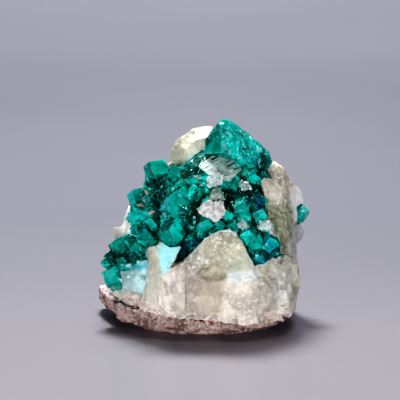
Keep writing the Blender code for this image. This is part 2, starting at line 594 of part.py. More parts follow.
def build_calcite(fillers, finish):
    shape = bmesh.new()
    for corners in CALCITE_BLOCKS.values():
        hull_into(shape, corners)
    for centre, edge in CLEAVAGE_STEPS:
        rhomb_into(shape, centre, edge)
    made = fused("calcite", shape)
    boolean(made, helper_from(half_space_above_parting(0.0), "above_parting"), "INTERSECT")
    scoops = bmesh.new()
    for centre, half_widths in SHELL_FRACTURES:
        scoop_into(scoops, centre, half_widths)
    boolean(made, helper_from(scoops, "shell_scoops"), "DIFFERENCE")
    sockets = bmesh.new()
    dioptase_into(sockets, fillers, GAP)
    right_crystals_into(sockets, GAP)
    back_crystals_into(sockets, GAP)
    crumbs_into(sockets, GAP)
    boolean(made, helper_from(sockets, "crystal_sockets"), "DIFFERENCE")
    keep_largest_body(made)
    made.data.materials.append(finish)
    return made


def build_crumbs(finish):
    made = []
    for number, corners in enumerate(CALCITE_CRUMBS, 1):
        shape = bmesh.new()
        hull_into(shape, corners)
        crumb = object_from(shape, f"calcite_crumb_{number}")
        crumb.data.materials.append(finish)
        made.append(crumb)
    return made


def build_host_rock(fillers, finish):
    """The rind: a lumpy slab whose middle is flat underneath, where the specimen stands."""
    shape = bmesh.new()
    hull_into(shape, [(x, y, height) for height, ring in ROCK_RINGS for x, y in ring])
    bmesh.ops.triangulate(shape, faces=shape.faces)
    bmesh.ops.subdivide_edges(shape, edges=shape.edges, cuts=ROCK_CUTS, use_grid_fill=True)
    bmesh.ops.recalc_face_normals(shape, faces=shape.faces)
    shape.normal_update()
    for vertex in shape.verts:
        if vertex.co.z > 0.2 * MM:
            lump = noise.fractal(vertex.co / MM * 0.5, 1.0, 2.0, 3)
            vertex.co += vertex.normal * lump * ROCK_LUMP * MM
            vertex.co.z = max(vertex.co.z, 0.05 * MM)
    made = object_from(shape, "host_rock")
    boolean(made, helper_from(half_space_above_parting(-GAP), "below_parting"), "DIFFERENCE")
    sockets = bmesh.new()
    dioptase_into(sockets, fillers, GAP)
    boolean(made, helper_from(sockets, "rock_sockets"), "DIFFERENCE")
    keep_largest_body(made)
    made.data.materials.append(finish)
    return made


def centre_on_base(parts):
    """Moves every mesh so that the origin is the middle of the specimen's base."""
    corners = [vertex.co for part in parts for vertex in part.data.vertices]
    low = Vector([min(corner[axis] for corner in corners) for axis in range(3)])
    high = Vector([max(corner[axis] for corner in corners) for axis in range(3)])
    shift = Vector((-(low.x + high.x) / 2, -(low.y + high.y) / 2, -low.z))
    for part in parts:
        part.data.transform(Matrix.Translation(shift))


def main():
    clear_scene()
    emerald = material("dioptase", (0.0, 0.30, 0.24), 0.12, transmission=0.6)
    pale = material("calcite", (0.74, 0.70, 0.60), 0.25)
    white = material("white_calcite", (0.86, 0.84, 0.80), 0.5)
    rind = material("host_rock", (0.46, 0.33, 0.28), 0.85)
    fillers = filler_crystals()
    parts = [build_dioptase(fillers, emerald)]
    parts += build_side_crystals(emerald)
    parts.append(build_calcite(fillers, pale))
    parts += build_crumbs(white)
    parts.append(build_host_rock(fillers, rind))
    centre_on_base(parts)


main()
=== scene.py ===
"""The looks of the dioptase specimen: crystals, milky calcite and host rock, on a pale floor."""

import math
import random

import bmesh
import bpy
import numpy as np
from mathutils import Matrix, Vector, noise
from mathutils.bvhtree import BVHTree


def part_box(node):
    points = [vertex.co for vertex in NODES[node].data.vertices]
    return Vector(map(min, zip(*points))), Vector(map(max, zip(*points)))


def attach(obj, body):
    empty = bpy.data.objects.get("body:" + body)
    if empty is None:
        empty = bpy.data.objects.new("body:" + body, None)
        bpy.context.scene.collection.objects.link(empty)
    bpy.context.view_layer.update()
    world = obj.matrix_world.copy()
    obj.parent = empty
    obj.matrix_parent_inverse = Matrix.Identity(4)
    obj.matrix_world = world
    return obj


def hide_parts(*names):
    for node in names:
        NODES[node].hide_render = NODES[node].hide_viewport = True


MM = 0.001

# Corners nearer than this are one corner, in millimetres
JOINED = 0.002

# The gap between the solids, and how far the dressed pieces grow into it, in millimetres
CAD_GAP = 0.3
CRYSTAL_GROWTH = CAD_GAP * 0.5
ROCK_GROWTH = CAD_GAP * 0.4

# The longest edges of the dressed pieces, in millimetres
CRYSTAL_EDGE = 0.42
CALCITE_EDGE = 0.46
CRUMB_EDGE = 0.22
RIND_EDGE = 0.45

# How much of the relief a calm zone takes away
CALMED = 0.8

# How far away a crystal still shades another, and how near the calcite tints it, in millimetres
SHADE_REACH = 2.5
SEAM_REACH = 0.6

# The least angle of an edge that gets a painted highlight, in radians, and the size of the highlighted
# patches, in millimetres
GLINT_EDGE_TURN = 0.4
GLINT_PATCH_SIZE = 1.2

# How strongly each mineral bends light
DIOPTASE_IOR = 1.65
CALCITE_IOR = 1.6

# How many small crystals grow on the summit crystal and on the others
SUMMIT_COUNT = 300
SMALL_COUNT = 340

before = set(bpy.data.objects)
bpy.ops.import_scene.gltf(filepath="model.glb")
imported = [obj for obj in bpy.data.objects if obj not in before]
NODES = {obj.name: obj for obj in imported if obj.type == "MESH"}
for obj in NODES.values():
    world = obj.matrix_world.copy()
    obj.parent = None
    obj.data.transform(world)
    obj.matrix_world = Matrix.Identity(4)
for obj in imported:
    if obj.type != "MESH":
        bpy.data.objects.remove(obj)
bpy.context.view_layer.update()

# The specimen was laid out round a point that is not quite the middle of its base
CRUMB_LOW_CORNER = Vector((-1.0, -10.3, 19.4))
LAYOUT_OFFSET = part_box("calcite_crumb_1")[0] / MM - CRUMB_LOW_CORNER


def at(x, y, z):
    """A place in the layout's millimetres, in metres in the frame."""
    return (Vector((x, y, z)) + LAYOUT_OFFSET) * MM


# Shapes

def copied(node):
    """A bmesh of a CAD node, with its faces joined at their corners."""
    shape = bmesh.new()
    shape.from_mesh(NODES[node].data)
    bmesh.ops.remove_doubles(shape, verts=shape.verts, dist=JOINED * MM)
    shape.normal_update()
    return shape


def grow(shape, amount):
    """Pushes the surface outwards by amount, in millimetres."""
    normals = [vertex.normal.copy() for vertex in shape.verts]
    for vertex, normal in zip(shape.verts, normals):
        vertex.co += normal * amount * MM
    shape.normal_update()


def shade_facets(shape, seed, lowest=0.0):
    """Keeps a number from lowest to 1 as facet on every face, the same over one flat crystal face."""
    layer = shape.faces.layers.float.new("facet")
    for face in shape.faces:
        plane = face.normal * 9
        depth = face.normal.dot(face.calc_center_median()) / MM
        side = Vector((round(plane.x), round(plane.y), round(plane.z)))
        key = side * 7.3 + Vector((round(depth * 2), seed, 0))
        face[layer] = lowest + (1 - lowest) * noise.cell(key)


def refine(shape, longest):
    """Splits edges until none is longer than longest, in millimetres."""
    most_rounds = 9
    bmesh.ops.triangulate(shape, faces=shape.faces)
    for _ in range(most_rounds):
        long_edges = [edge for edge in shape.edges if edge.calc_length() > longest * MM]
        if not long_edges:
            break
        bmesh.ops.subdivide_edges(shape, edges=long_edges, cuts=1)
        bmesh.ops.triangulate(shape, faces=shape.faces)
    shape.normal_update()


def cell_tilt(place, size, seed):
    """A height in about -1..1 that is a tilted plane in each irregular cell of that size."""
    scaled = place / size + Vector((seed, seed * 1.7, -seed))
    centre = noise.voronoi(scaled)[1][0]
    tilt = noise.cell_vector(centre * 37.0) * 2 - Vector((1, 1, 1))
    return (scaled - centre).dot(tilt)


def displace(shape, height, calm_zones=()):
    """Moves every vertex along its normal by height(place), all in millimetres, and by less in calm zones.

    Each calm zone is an outline and the depth where it ends.
    """
    places = np.array([list(vertex.co / MM - LAYOUT_OFFSET) for vertex in shape.verts])
    calm = np.zeros(len(places))
    for corners, behind in calm_zones:
        calm = np.maximum(calm, zone_share(places, corners, behind))
    moves = [vertex.normal * height(Vector(place)) * (1 - CALMED * rest) * MM
             for vertex, place, rest in zip(shape.verts, places, calm)]
    for vertex, move in zip(shape.verts, moves):
        vertex.co += move
        vertex.co.z = max(vertex.co.z, 0.0)
    shape.normal_update()


def surface_spots(shape, count, draw, accept):
    """Random places on a triangulated bmesh, in layout millimetres, each with its outward direction."""
    faces = [face for face in shape.faces
             if accept(face.calc_center_median() / MM - LAYOUT_OFFSET, face.normal)]
    areas = [face.calc_area() for face in faces]
    spots = []
    for face in draw.choices(faces, areas, k=count):
        first, second = sorted((draw.random(), draw.random()))
        a, b, c = (vertex.co for vertex in face.verts[:3])
        place = (a * first + b * (second - first) + c * (1 - second)) / MM - LAYOUT_OFFSET
        spots.append((place, face.normal.copy()))
    return spots


def add_solid(target, corners, faces, place, turn):
    """Adds a small turned solid at a place, given by its corners and faces, in millimetres."""
    made = [target.verts.new((turn @ Vector(corner) + place + LAYOUT_OFFSET) * MM) for corner in corners]
    for face in faces:
        target.faces.new([made[index] for index in face])


def crystal_into(target, place, axis, twist, radius, length):
    """A six-sided crystal with three rhombic faces on its tip. place is the middle of its root."""
    rise = radius * 0.9
    ring = [Vector((radius * math.cos(turn), radius * math.sin(turn), 0))
            for turn in (math.tau * step / 6 for step in range(6))]
    top = [corner + Vector((0, 0, length - (rise if step % 2 else rise * 0.5)))
           for step, corner in enumerate(ring)]
    corners = ring + top + [Vector((0, 0, length))]
    faces = [(step, (step + 1) % 6, (step + 1) % 6 + 6, step + 6) for step in range(6)]
    faces += [(12, step + 6, (step + 1) % 6 + 6, (step + 2) % 6 + 6) for step in (1, 3, 5)]
    faces.append((5, 4, 3, 2, 1, 0))
    turn = axis.to_track_quat("Z", "Y").to_matrix() @ Matrix.Rotation(twist, 3, "Z")
    add_solid(target, corners, faces, place, turn)


def rhomb_into(target, place, turn, size):
    """A cleavage rhomb of calcite with edges of the given lengths."""
    slant = -0.2
    corners = []
    for z in (-0.5, 0.5):
        for y in (-0.5, 0.5):
            for x in (-0.5, 0.5):
                corner = ((x + slant * (y + z)) * size[0], (y + slant * z) * size[1], z * size[2])
                corners.append(Vector(corner))
    faces = [(0, 2, 3, 1), (4, 5, 7, 6), (0, 1, 5, 4), (2, 6, 7, 3), (0, 4, 6, 2), (1, 3, 7, 5)]
    add_solid(target, corners, faces, place, turn)


def random_turn(draw, spread=math.pi):
    """A turn by up to spread about each axis."""
    return (Matrix.Rotation(draw.uniform(-spread, spread), 3, "X")
            @ Matrix.Rotation(draw.uniform(-spread, spread), 3, "Y")
            @ Matrix.Rotation(draw.uniform(-spread, spread), 3, "Z"))


def object_of(shape, name, finish, smooth_angle=None):
    """The piece made of a bmesh, riding on the root body. Edges under smooth_angle degrees look smooth."""
    mesh = bpy.data.meshes.new(name)
    bmesh.ops.recalc_face_normals(shape, faces=shape.faces)
    shape.to_mesh(mesh)
    shape.free()
    if smooth_angle is not None:
        mesh.shade_smooth()
        mesh.set_sharp_from_angle(angle=math.radians(smooth_angle))
    mesh.materials.append(finish)
    made = bpy.data.objects.new(name, mesh)
    bpy.context.scene.collection.objects.link(made)
    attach(made, "root")
    return made


# Zones of colour

def places_in(mesh):
    """Where a mesh's vertices are, in layout millimetres, one row each."""
    spots = np.empty(len(mesh.vertices) * 3)
    mesh.vertices.foreach_get("co", spots)
    return spots.reshape(-1, 3) / MM - np.array(LAYOUT_OFFSET)


def wavy(places, reach):
    """The same places, shifted a little so that the edge of a zone isn't straight."""
    x, y, z = places.T * 2.3
    sideways = np.sin(1.7 * z + 1.1 * y) + np.sin(3.9 * z - x)
    upwards = np.sin(1.9 * x - y) + np.sin(4.3 * x + z)
    shift = np.stack((sideways, 0 * x, upwards), axis=1)
    return places + shift * reach * 0.5


def depth_inside(places, corners):
    """How far inside an outline of x and z corners each place is seen from the front, in millimetres."""
    flat = places[:, (0, 2)]
    nearest = np.full(len(flat), np.inf)
    inside = np.zeros(len(flat), bool)
    for start, end in zip(corners, corners[1:] + corners[:1]):
        start, end = np.array(start), np.array(end)
        along = end - start
        share = np.clip((flat - start) @ along / (along @ along), 0, 1)
        nearest = np.minimum(nearest, np.linalg.norm(flat - start - share[:, None] * along, axis=1))
        crosses = (start[1] > flat[:, 1]) != (end[1] > flat[:, 1])
        rise = along[1] if along[1] else 1e-9
        inside ^= crosses & (flat[:, 0] < start[0] + (flat[:, 1] - start[1]) / rise * along[0])
    return np.where(inside, nearest, -nearest)


def soft_step(values, low, high):
    """0 up to low, 1 from high on, and a smooth rise between them."""
    share = np.clip((values - low) / (high - low), 0, 1)
    return share * share * (3 - 2 * share)


def zone_share(places, corners, behind, soft=0.25):
    """1 inside an outline, in front of a depth, and 0 outside, with a soft edge."""
    wave, fade = 0.2, 2.0
    inside = soft_step(depth_inside(wavy(places, wave), corners), -soft, soft)
    return inside * (1 - soft_step(places[:, 1], behind, behind + fade))


def paint(made, base, zones=(), extra=()):
    """Keeps a colour for every vertex as tint: base, then each zone's colour over it in turn."""
    places = places_in(made.data)
    tint = np.tile(np.array(base), (len(places), 1))
    for corners, behind, colour, strength in zones:
        share = zone_share(places, corners, behind)[:, None] * strength
        tint = tint * (1 - share) + np.array(colour) * share
    for share, colour in extra:
        share = share[:, None]
        tint = tint * (1 - share) + np.array(colour) * share
    layer = made.data.attributes.new("tint", "FLOAT_COLOR", "POINT")
    layer.data.foreach_set("color", np.concatenate((tint, np.ones((len(tint), 1))), axis=1).ravel())


def keep_share(made, name, zones):
    """Keeps a number from 0 to 1 for every vertex, the highest of the zones'."""
    places = places_in(made.data)
    share = np.zeros(len(places))
    for corners, behind, strength in zones:
        share = np.maximum(share, zone_share(places, corners, behind) * strength)
    made.data.attributes.new(name, "FLOAT", "POINT").data.foreach_set("value", share)


def nearness(made, tree, reach):
    """1 for a vertex that touches the tree's surface, and 0 from reach millimetres away."""
    near = np.zeros(len(made.data.vertices))
    for index, vertex in enumerate(made.data.vertices):
        gap = tree.find_nearest(vertex.co, reach * MM)[3]
        if gap is not None:
            near[index] = 1 - gap / (reach * MM)
    return near


# The 26 ways from the middle of a cube to its corners, edges and faces
AROUND = [Vector((x, y, z)).normalized()
          for x in (-1, 0, 1) for y in (-1, 0, 1) for z in (-1, 0, 1) if x or y or z]


def hollows(made, tree, reach):
    """How much of what each vertex faces is blocked within reach millimetres, from 0 to 1, for painted shade
    in hollows.
    """
    lift, least_facing = 0.2, 0.45
    hollow_shade = np.zeros(len(made.data.vertices))
    for index, vertex in enumerate(made.data.vertices):
        normal = vertex.normal
        start = vertex.co + normal * lift * MM
        faced = [ray for ray in AROUND if ray.dot(normal) > least_facing]
        blocked = sum(tree.ray_cast(start, ray, reach * MM)[0] is not None for ray in faced)
        hollow_shade[index] = blocked / max(1, len(faced))
    return hollow_shade


# Materials

class Nodes:
    """Short names for building a node material."""

    def __init__(self, name):
        self.material = bpy.data.materials.new(name)
        self.material.use_nodes = True
        self.tree = self.material.node_tree
        self.shader = self.tree.nodes["Principled BSDF"]
        self.output = self.tree.nodes["Material Output"]
        self.coords = self.tree.nodes.new("ShaderNodeTexCoord").outputs["Object"]

    def link(self, source, target):
        self.tree.links.new(source, target)

    def set(self, socket, value):
        self.shader.inputs[socket].default_value = value

    def noise(self, scale, detail=4.0, roughness=0.6):
        made = self.tree.nodes.new("ShaderNodeTexNoise")
        made.inputs["Scale"].default_value = scale
        made.inputs["Detail"].default_value = detail
        made.inputs["Roughness"].default_value = roughness
        self.link(self.coords, made.inputs["Vector"])
        return made.outputs["Fac"]

    def cells(self, scale):
        made = self.tree.nodes.new("ShaderNodeTexVoronoi")
        made.inputs["Scale"].default_value = scale
        self.link(self.coords, made.inputs["Vector"])
        return made.outputs["Color"]

    def ramp(self, value, low, high, out_low=0.0, out_high=1.0):
        made = self.tree.nodes.new("ShaderNodeMapRange")
        made.interpolation_type = "SMOOTHSTEP"
        made.inputs["From Min"].default_value = low
        made.inputs["From Max"].default_value = high
        made.inputs["To Min"].default_value = out_low
        made.inputs["To Max"].default_value = out_high
        self.link(value, made.inputs["Value"])
        return made.outputs["Result"]

    def mix(self, factor, first, second, blend="MIX"):
        made = self.tree.nodes.new("ShaderNodeMix")
        made.data_type = "RGBA"
        made.blend_type = blend
        first_colour, second_colour = made.inputs[6], made.inputs[7]
        for socket, value in ((first_colour, first), (second_colour, second)):
            if isinstance(value, tuple):
                socket.default_value = (*value, 1.0)
            else:
                self.link(value, socket)
        if isinstance(factor, float):
            made.inputs[0].default_value = factor
        else:
            self.link(factor, made.inputs[0])
        return made.outputs[2]

    def times(self, first, second):
        made = self.tree.nodes.new("ShaderNodeMath")
        made.operation = "MULTIPLY"
        for socket, value in zip(made.inputs, (first, second)):
            if isinstance(value, float):
                socket.default_value = value
            else:
                self.link(value, socket)
        return made.outputs[0]

    def shaded(self, colour, value, low, high):
        """The colour times a grey that goes from low to high with the value."""
        grey = self.ramp(value, 0.0, 1.0, low, high)
        return self.mix(1.0, colour, grey, "MULTIPLY")

    def kept(self, name, output="Fac"):
        made = self.tree.nodes.new("ShaderNodeAttribute")
        made.attribute_name = name
        return made.outputs[output]

    def bump(self, height, distance, strength):
        made = self.tree.nodes.new("ShaderNodeBump")
        made.inputs["Strength"].default_value = strength
        made.inputs["Distance"].default_value = distance
        self.link(height, made.inputs["Height"])
        return made.outputs["Normal"]


def dioptase_material():
    """Clear teal crystal with painted cyan glints and painted highlights on its edges, a little uneven."""
    made = Nodes("dioptase")
    body = made.shaded(made.kept("tint", "Color"), made.kept("facet"), 0.5, 1.4)
    body = made.shaded(body, made.cells(620), 0.7, 1.3)
    body = made.shaded(body, made.ramp(made.noise(420, 5, 0.65), 0.36, 0.64), 0.8, 1.25)
    # Painted glints: small flecks of pale cyan mixed into the colour, standing in for sparkle
    painted_glints = made.ramp(made.noise(1200, 5, 0.75), 0.57, 0.63)
    body = made.mix(made.times(painted_glints, 0.8), body, (0.3, 1.0, 0.97))
    made.link(body, made.shader.inputs["Base Color"])
    made.set("Transmission Weight", 0.55)
    made.set("IOR", DIOPTASE_IOR)
    made.shader.inputs["Specular Tint"].default_value = (0.3, 0.95, 0.9, 1.0)
    made.link(made.ramp(made.noise(900, 4), 0.4, 0.7, 0.02, 0.16), made.shader.inputs["Roughness"])
    made.link(made.bump(made.noise(1500, 4, 0.7), 0.00015, 0.5), made.shader.inputs["Normal"])
    absorb = made.tree.nodes.new("ShaderNodeVolumeAbsorption")
    absorb.inputs["Color"].default_value = (0.02, 0.84, 0.78, 1.0)
    absorb.inputs["Density"].default_value = 420.0
    made.link(absorb.outputs["Volume"], made.output.inputs["Volume"])
    return made.material


def striated_material():
    """The silky face of the broken crystal below the summit, painted pale where it reflects the lamp
    overhead.
    """
    made = Nodes("striated_dioptase")
    body = made.shaded(made.kept("tint", "Color"), made.ramp(made.noise(900, 4), 0.36, 0.64), 0.6, 1.25)
    made.link(body, made.shader.inputs["Base Color"])
    made.set("Transmission Weight", 0.15)
    made.set("IOR", DIOPTASE_IOR)
    made.link(made.ramp(made.noise(1200, 4), 0.4, 0.6, 0.35, 0.55), made.shader.inputs["Roughness"])
    made.link(made.bump(made.noise(1600, 3), 0.0002, 0.5), made.shader.inputs["Normal"])
    return made.material


def calcite_material():
    """Milky calcite, with sugary grains where the veil is."""
    made = Nodes("calcite")
    body = made.shaded(made.kept("tint", "Color"), made.ramp(made.noise(190, 4, 0.6), 0.36, 0.64), 0.68, 1.2)
    body = made.shaded(body, made.cells(300), 0.85, 1.12)
    sugar = made.ramp(made.noise(1300, 6, 0.78), 0.5, 0.62)
    body = made.mix(made.times(sugar, made.kept("veil")), body, (0.92, 0.90, 0.84))
    made.link(body, made.shader.inputs["Base Color"])
    made.set("Subsurface Weight", 0.3)
    made.set("Subsurface Scale", 0.0012)
    made.shader.inputs["Subsurface Radius"].default_value = (1.0, 0.9, 0.7)
    made.set("IOR", CALCITE_IOR)
    made.link(made.ramp(made.noise(800, 4), 0.38, 0.62, 0.08, 0.42), made.shader.inputs["Roughness"])
    made.link(made.bump(made.noise(1500, 5, 0.7), 0.0003, 0.6), made.shader.inputs["Normal"])
    return made.material


def white_material():
    """White, sugary calcite of the crumbs and chips."""
    made = Nodes("white_calcite")
    body = made.shaded(made.kept("tint", "Color"), made.ramp(made.noise(1100, 4), 0.38, 0.62), 0.6, 1.15)
    made.link(body, made.shader.inputs["Base Color"])
    made.link(made.ramp(made.noise(1500, 4), 0.4, 0.6, 0.12, 0.5), made.shader.inputs["Roughness"])
    made.set("Subsurface Weight", 0.2)
    made.set("Subsurface Scale", 0.0006)
    made.link(made.bump(made.noise(2600, 4), 0.0002, 0.6), made.shader.inputs["Normal"])
    return made.material


def rock_material():
    """Pinkish rock with pale grains and dark pits."""
    made = Nodes("host_rock")
    body = made.shaded(made.kept("tint", "Color"), made.ramp(made.noise(330, 5), 0.38, 0.62), 0.55, 1.4)
    grains = made.ramp(made.noise(1300, 5, 0.7), 0.52, 0.62)
    body = made.mix(made.times(grains, 0.8), body, (0.62, 0.48, 0.45))
    pits = made.ramp(made.noise(2200, 5, 0.75), 0.54, 0.6)
    body = made.mix(made.times(pits, 0.85), body, (0.05, 0.022, 0.02))
    made.link(body, made.shader.inputs["Base Color"])
    made.set("Roughness", 0.75)
    made.link(made.bump(made.noise(1900, 4), 0.0005, 0.8), made.shader.inputs["Normal"])
    return made.material


def floor_material():
    """A pale floor, with painted shade darkest a little behind the specimen and painted light making it
    lighter again far away.
    """
    made = Nodes("floor")
    split = made.tree.nodes.new("ShaderNodeSeparateXYZ")
    made.link(made.coords, split.inputs[0])
    # Painted shade in a band behind the specimen, and painted light far away up the backdrop
    body = made.mix(made.ramp(split.outputs["Y"], -0.09, 0.09), (0.285, 0.267, 0.294), (0.138, 0.140, 0.166))
    body = made.mix(made.ramp(split.outputs["Y"], 0.10, 0.70), body, (0.46, 0.46, 0.55))
    body = made.shaded(body, made.noise(6, 3), 0.95, 1.05)
    made.link(body, made.shader.inputs["Base Color"])
    made.link(made.ramp(split.outputs["Y"], 0.02, 0.10, 0.3, 0.9), made.shader.inputs["Roughness"])
    made.set("Specular IOR Level", 0.1)
    return made.material


DIOPTASE = dioptase_material()
STRIATED = striated_material()
CALCITE = calcite_material()
WHITE = white_material()
ROCK = rock_material()


# Crystals. A zone is an outline of x and z corners, the depth where it ends, a colour and its strength

TEAL = (0.0, 0.84, 0.69)
# A dark teal painted as shade, where crystals lie in shadow or turn away from the light
SHADE_TEAL = (0.0, 0.075, 0.06)
CROWN_MAIN = [(3.1, 34.2), (4.6, 34.7), (7.6, 32.0), (10.3, 29.5), (9.7, 26.8), (7.0, 28.0), (3.3, 30.2)]
CRYSTAL_ZONES = {
    # Painted shade on the left face of the summit crystal
    "summit_shaded_left_face": (
        [(0.1, 29.5), (0.3, 32.2), (2.8, 34.9), (3.1, 30.2)],
        2.0, (0.0, 0.24, 0.19), 0.8),
    # The main face of the summit crystal: a brighter cyan, partly its own colour and partly painted light
    # where light falls on it
    "summit_lit_main_face": (CROWN_MAIN, 2.0, (0.02, 0.98, 0.86), 0.9),
    # Painted shade at the lower right end of the summit crystal
    "summit_shaded_end": (
        [(8.4, 28.0), (9.7, 29.7), (11.4, 28.0), (10.0, 26.3), (9.0, 25.4)],
        2.0, SHADE_TEAL, 0.8),
    "upper_left_crystal": (
        [(-9.8, 27.0), (-9.2, 28.2), (-8.0, 29.2), (-6.8, 28.5), (-5.5, 27.3), (-6.3, 26.1), (-8.8, 26.0)],
        0.0, (0.0, 0.48, 0.34), 0.8),
    # Painted shade on a column of crystals
    "shaded_column": (
        [(-9.2, 25.9), (-6.3, 26.3), (-6.3, 22.2), (-6.9, 19.5), (-9.0, 16.8), (-9.7, 21.2)],
        -1.0, SHADE_TEAL, 0.85),
    "cyan_streak": (
        [(-6.3, 23.4), (-5.8, 21.7), (-6.1, 17.4), (-7.1, 17.4), (-7.3, 20.7)],
        -3.0, (0.16, 1.0, 1.0), 0.95),
    # Painted shade below the big crystal
    "shade_below_big_crystal": (
        [(-4.3, 21.6), (-0.9, 22.3), (-0.7, 19.3), (-1.7, 16.9), (-3.7, 16.6)],
        -3.0, SHADE_TEAL, 0.75),
    # Painted shade in a gap between crystals
    "shaded_gap": (
        [(3.0, 24.2), (4.9, 24.2), (5.1, 21.8), (3.3, 21.5)],
        -2.0, (0.0, 0.02, 0.02), 0.95),
    # Painted shade on crystals at the right
    "shaded_right": (
        [(5.3, 24.6), (8.9, 24.9), (9.9, 22.2), (9.6, 20.6), (6.9, 22.2)],
        -2.0, SHADE_TEAL, 0.8),
    "blue_right": (
        [(8.4, 23.3), (9.9, 22.8), (10.3, 20.1), (8.6, 20.8)],
        -2.0, (0.0, 0.22, 0.45), 0.8),
    "blue_left_of_tooth": (
        [(-4.7, 15.6), (0.3, 16.6), (1.3, 16.3), (-2.4, 13.2), (-5.3, 11.5)],
        -4.0, (0.0, 0.19, 0.29), 0.85),
    "blue_low_right": (
        [(9.6, 16.7), (11.3, 16.6), (12.9, 11.9), (11.0, 11.2), (9.7, 11.6)],
        -1.0, (0.0, 0.46, 0.62), 0.7),
    "cyan_right_of_tooth": (
        [(6.9, 14.1), (9.5, 14.1), (10.2, 12.0), (7.6, 11.7)],
        -3.0, (0.12, 0.9, 1.0), 0.9),
    "bright_left": (
        [(-14.6, 16.0), (-12.3, 16.0), (-12.1, 13.3), (-14.5, 12.9)],
        0.0, (0.01, 0.62, 0.5), 0.9),
    # Painted shade on crystals low at the left
    "shaded_low_left": (
        [(-16.8, 13.8), (-14.5, 13.1), (-11.8, 13.4), (-9.8, 12.7), (-12.8, 10.7), (-16.8, 10.7)],
        0.0, SHADE_TEAL, 0.8),
    "lowest_left": (
        [(-17.4, 8.9), (-15.5, 10.6), (-14.0, 10.3), (-14.9, 8.9)],
        0.0, (0.08, 0.7, 0.6), 0.8),
    "plate_left_face": (
        [(-4.1, 26.8), (-0.2, 29.4), (2.0, 29.2), (1.5, 28.1), (-0.2, 26.4), (-3.4, 25.3)],
        -1.0, (0.03, 0.15, 0.12), 0.85),
    "left_flank": (
        [(-12.6, 24.0), (-9.9, 24.2), (-8.7, 20.8), (-7.8, 17.4), (-7.8, 14.3), (-10.5, 14.3),
         (-12.4, 19.4)],
        0.0, (0.02, 0.66, 0.6), 0.7),
}


def crystal_relief(place):
    """Broken steps on crystal faces, in millimetres."""
    broken = cell_tilt(place, 1.6, 3.0) * 0.22
    fine = cell_tilt(place, 0.6, 9.0) * 0.06
    return broken + fine


def standing_edges(shape):
    """1 for a vertex on an edge that stands out between two crystal faces, 0 for the others."""

    def stands_out(edge):
        return edge.is_convex and edge.calc_face_angle(0.0) > GLINT_EDGE_TURN

    return np.array([float(any(stands_out(edge) for edge in vertex.link_edges)) for vertex in shape.verts])


def patches(places, size):
    """Soft patches from 0 to 1 of about that size, in millimetres."""
    return soft_step(np.array([noise.noise(Vector(place) / size) for place in places]), -0.05, 0.35)


def make_crystals():
    """The big crystals, with broken faces, painted highlights on standing edges and painted shade in
    hollows.
    """
    calcite_tree = BVHTree.FromBMesh(copied("calcite"))
    for node in ("dioptase_cluster", "dioptase_right", "dioptase_back"):
        shape = copied(node)
        shade_facets(shape, 5)
        grow(shape, CRYSTAL_GROWTH)
        refine(shape, CRYSTAL_EDGE)
        edges = standing_edges(shape)
        displace(shape, crystal_relief)
        made = object_of(shape, node + "_crystals", DIOPTASE, 20)
        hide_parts(node)
        hollow_shade = soft_step(hollows(made, BVHTree.FromBMesh(copied(node)), SHADE_REACH), 0.1, 0.8)
        seam = nearness(made, calcite_tree, SEAM_REACH)
        edge_glint = edges * patches(places_in(made.data), GLINT_PATCH_SIZE)
        shades = [
            # painted shade in the hollows between crystals
            (hollow_shade * 0.75, (0.0, 0.05, 0.05)),
            # painted highlights in patches along the standing edges
            (edge_glint * 0.6, (0.25, 1.0, 0.98)),
            (seam * 0.7, (0.0, 0.24, 0.42)),
        ]
        paint(made, TEAL, CRYSTAL_ZONES.values(), shades)


# Faces of big crystals that stay clear of small ones
CLEAR_FACES = [
    [(-6.1, 23.6), (-4.1, 25.4), (-2.4, 25.8), (-1.1, 25.2), (-0.6, 22.9), (-1.6, 21.7),
     (-4.0, 20.5), (-6.1, 19.8)],
    [(-7.0, 18.5), (-4.0, 19.0), (-3.2, 16.1), (-4.3, 14.6), (-6.7, 15.1)],
    [(-17.4, 8.9), (-15.5, 10.6), (-14.0, 10.3), (-14.0, 7.2), (-16.2, 6.5)],
    CRYSTAL_ZONES["upper_left_crystal"][0],
    CRYSTAL_ZONES["bright_left"][0],
]


